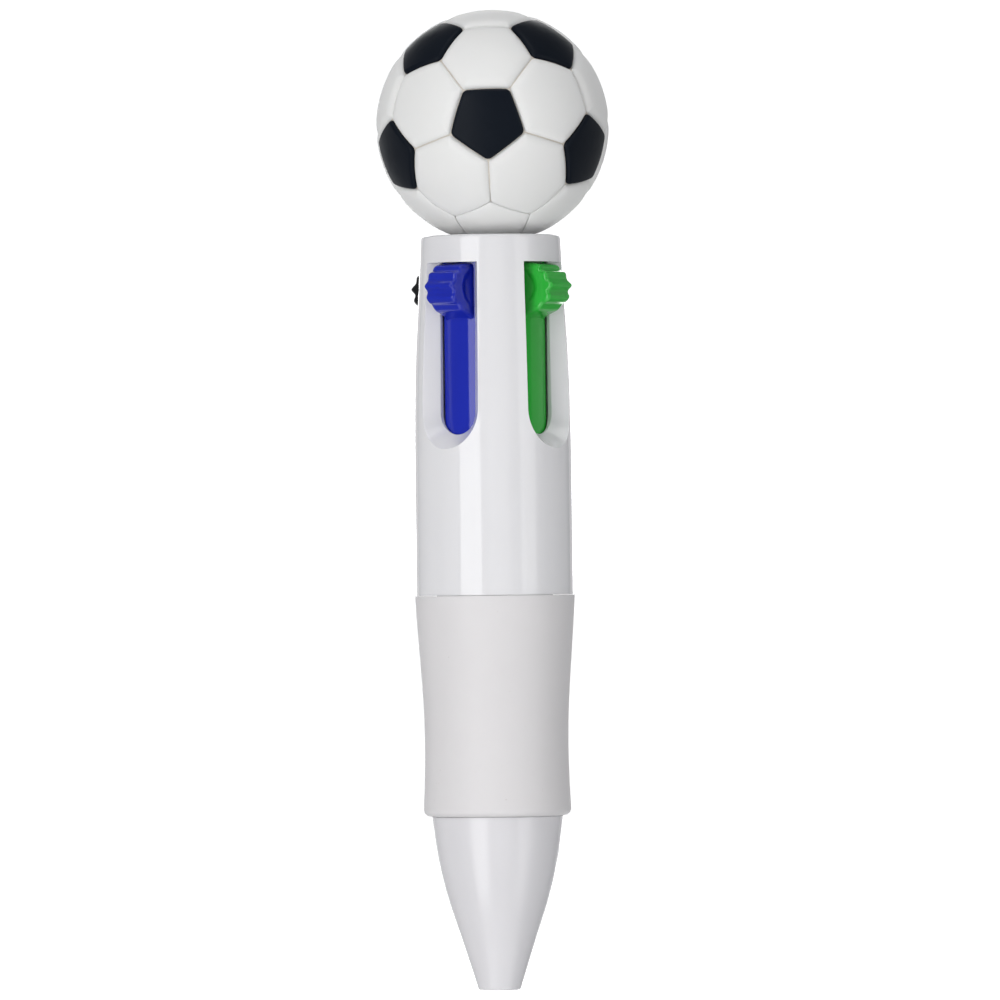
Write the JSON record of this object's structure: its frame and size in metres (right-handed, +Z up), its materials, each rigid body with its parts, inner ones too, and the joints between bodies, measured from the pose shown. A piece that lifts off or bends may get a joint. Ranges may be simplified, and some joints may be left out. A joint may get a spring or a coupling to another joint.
{
  "type": "multicolor click pen",
  "caption": "Multicolour click pen with a football cap, slotted barrel, soft waisted grip and screw-on nose; a sprung slider brings out each refill.",
  "frame": {"origin": "centre of the nose's end face, on the pen's axis", "axes": "+Z up the pen's axis from the nose to the ball; -Y is the pictured front, between the blue and green sliders"},
  "size_m": [0.0302, 0.0302, 0.1265],
  "materials": {
    "barrel_white": "glossy moulded ABS",
    "nose_white": "glossy moulded ABS",
    "grip_rubber": "matte, slightly translucent soft rubber",
    "ball_white": "smooth semi-gloss",
    "ball_black": "painted, semi-gloss",
    "inner_white": "plain moulded polypropylene",
    "spring_steel": "bright drawn wire",
    "refill_tube": "translucent polypropylene",
    "refill_adaptor": "moulded polypropylene",
    "point_brass": "turned brass",
    "writing_ball": "polished carbide",
    "slider_blue": "glossy moulded plastic",
    "ink_blue": "ballpoint ink",
    "slider_green": "glossy moulded plastic",
    "ink_green": "ballpoint ink",
    "slider_black": "glossy moulded plastic",
    "ink_black": "ballpoint ink",
    "slider_red": "glossy moulded plastic",
    "ink_red": "ballpoint ink"
  },
  "bodies": {
    "barrel": {"upper_barrel": "barrel_white", "end_plug": "barrel_white", "ball_body": "ball_white", "ball_black_panels": "ball_black", "slider_guide": "inner_white", "guide_disc": "inner_white", "blue_spring": "spring_steel", "green_spring": "spring_steel", "black_spring": "spring_steel", "red_spring": "spring_steel"},
    "nose": {"nose_section": "nose_white", "grip_sleeve": "grip_rubber"},
    "blue_slider": {"blue_slider": "slider_blue"},
    "blue_refill": {"blue_refill_tube": "refill_tube", "blue_ink": "ink_blue", "blue_tip_adaptor": "refill_adaptor", "blue_point": "point_brass"},
    "blue_writing_ball": {"blue_writing_ball": "writing_ball"},
    "green_slider": {"green_slider": "slider_green"},
    "green_refill": {"green_refill_tube": "refill_tube", "green_ink": "ink_green", "green_tip_adaptor": "refill_adaptor", "green_point": "point_brass"},
    "green_writing_ball": {"green_writing_ball": "writing_ball"},
    "black_slider": {"black_slider": "slider_black"},
    "black_refill": {"black_refill_tube": "refill_tube", "black_ink": "ink_black", "black_tip_adaptor": "refill_adaptor", "black_point": "point_brass"},
    "black_writing_ball": {"black_writing_ball": "writing_ball"},
    "red_slider": {"red_slider": "slider_red"},
    "red_refill": {"red_refill_tube": "refill_tube", "red_ink": "ink_red", "red_tip_adaptor": "refill_adaptor", "red_point": "point_brass"},
    "red_writing_ball": {"red_writing_ball": "writing_ball"}
  },
  "joints": [
    {"name": "blue_click", "type": "slide", "parent": "barrel", "child": "blue_slider", "axis": [0, 0, -1], "range_m": [0, 0.0135], "stiffness_N_per_m": 60, "springref_m": -0.004, "deforming": ["blue_spring"]},
    {"name": "blue_refill_lean", "type": "hinge", "parent": "blue_slider", "child": "blue_refill", "pos_m": [-0.00339, -0.00339, 0.064], "axis": [0.7071, -0.7071, 0], "range_deg": [0, 2.33]},
    {"name": "blue_ball_roll", "type": "hinge", "parent": "blue_refill", "child": "blue_writing_ball", "pos_m": [-0.00206, -0.00206, 0.01138], "axis": [0.7071, -0.7071, 0], "continuous": true},
    {"name": "green_click", "type": "slide", "parent": "barrel", "child": "green_slider", "axis": [0, 0, 1], "range_m": [-0.0135, 0], "stiffness_N_per_m": 60, "springref_m": 0.004, "deforming": ["green_spring"]},
    {"name": "green_refill_lean", "type": "hinge", "parent": "green_slider", "child": "green_refill", "pos_m": [0.00339, -0.00339, 0.064], "axis": [0.7071, 0.7071, 0], "range_deg": [0, 2.33]},
    {"name": "green_ball_roll", "type": "hinge", "parent": "green_refill", "child": "green_writing_ball", "pos_m": [0.00206, -0.00206, 0.01138], "axis": [0.7071, 0.7071, 0], "continuous": true},
    {"name": "black_click", "type": "slide", "parent": "barrel", "child": "black_slider", "axis": [0, 0, 1], "range_m": [-0.0135, 0], "stiffness_N_per_m": 60, "springref_m": 0.004, "deforming": ["black_spring"]},
    {"name": "black_refill_lean", "type": "hinge", "parent": "black_slider", "child": "black_refill", "pos_m": [-0.00339, 0.00339, 0.064], "axis": [-0.7071, -0.7071, 0], "range_deg": [0, 2.33]},
    {"name": "black_ball_roll", "type": "hinge", "parent": "black_refill", "child": "black_writing_ball", "pos_m": [-0.00206, 0.00206, 0.01138], "axis": [-0.7071, -0.7071, 0], "continuous": true},
    {"name": "red_click", "type": "slide", "parent": "barrel", "child": "red_slider", "axis": [0, 0, -1], "range_m": [0, 0.0135], "stiffness_N_per_m": 60, "springref_m": -0.004, "deforming": ["red_spring"]},
    {"name": "red_refill_lean", "type": "hinge", "parent": "red_slider", "child": "red_refill", "pos_m": [0.00339, 0.00339, 0.064], "axis": [-0.7071, 0.7071, 0], "range_deg": [0, 2.33]},
    {"name": "red_ball_roll", "type": "hinge", "parent": "red_refill", "child": "red_writing_ball", "pos_m": [0.00206, 0.00206, 0.01138], "axis": [-0.7071, 0.7071, 0], "continuous": true},
    {"name": "nose_pull", "type": "slide", "parent": "barrel", "child": "nose", "axis": [0, 0, -1], "range_m": [0, 0.055]}
  ],
  "couplings": [
    {"joint": "blue_refill_lean", "follows": "blue_click", "rad_per_m": 2.9991},
    {"joint": "green_refill_lean", "follows": "green_click", "rad_per_m": -2.9991},
    {"joint": "black_refill_lean", "follows": "black_click", "rad_per_m": -2.9991},
    {"joint": "red_refill_lean", "follows": "red_click", "rad_per_m": 2.9991}
  ]
}
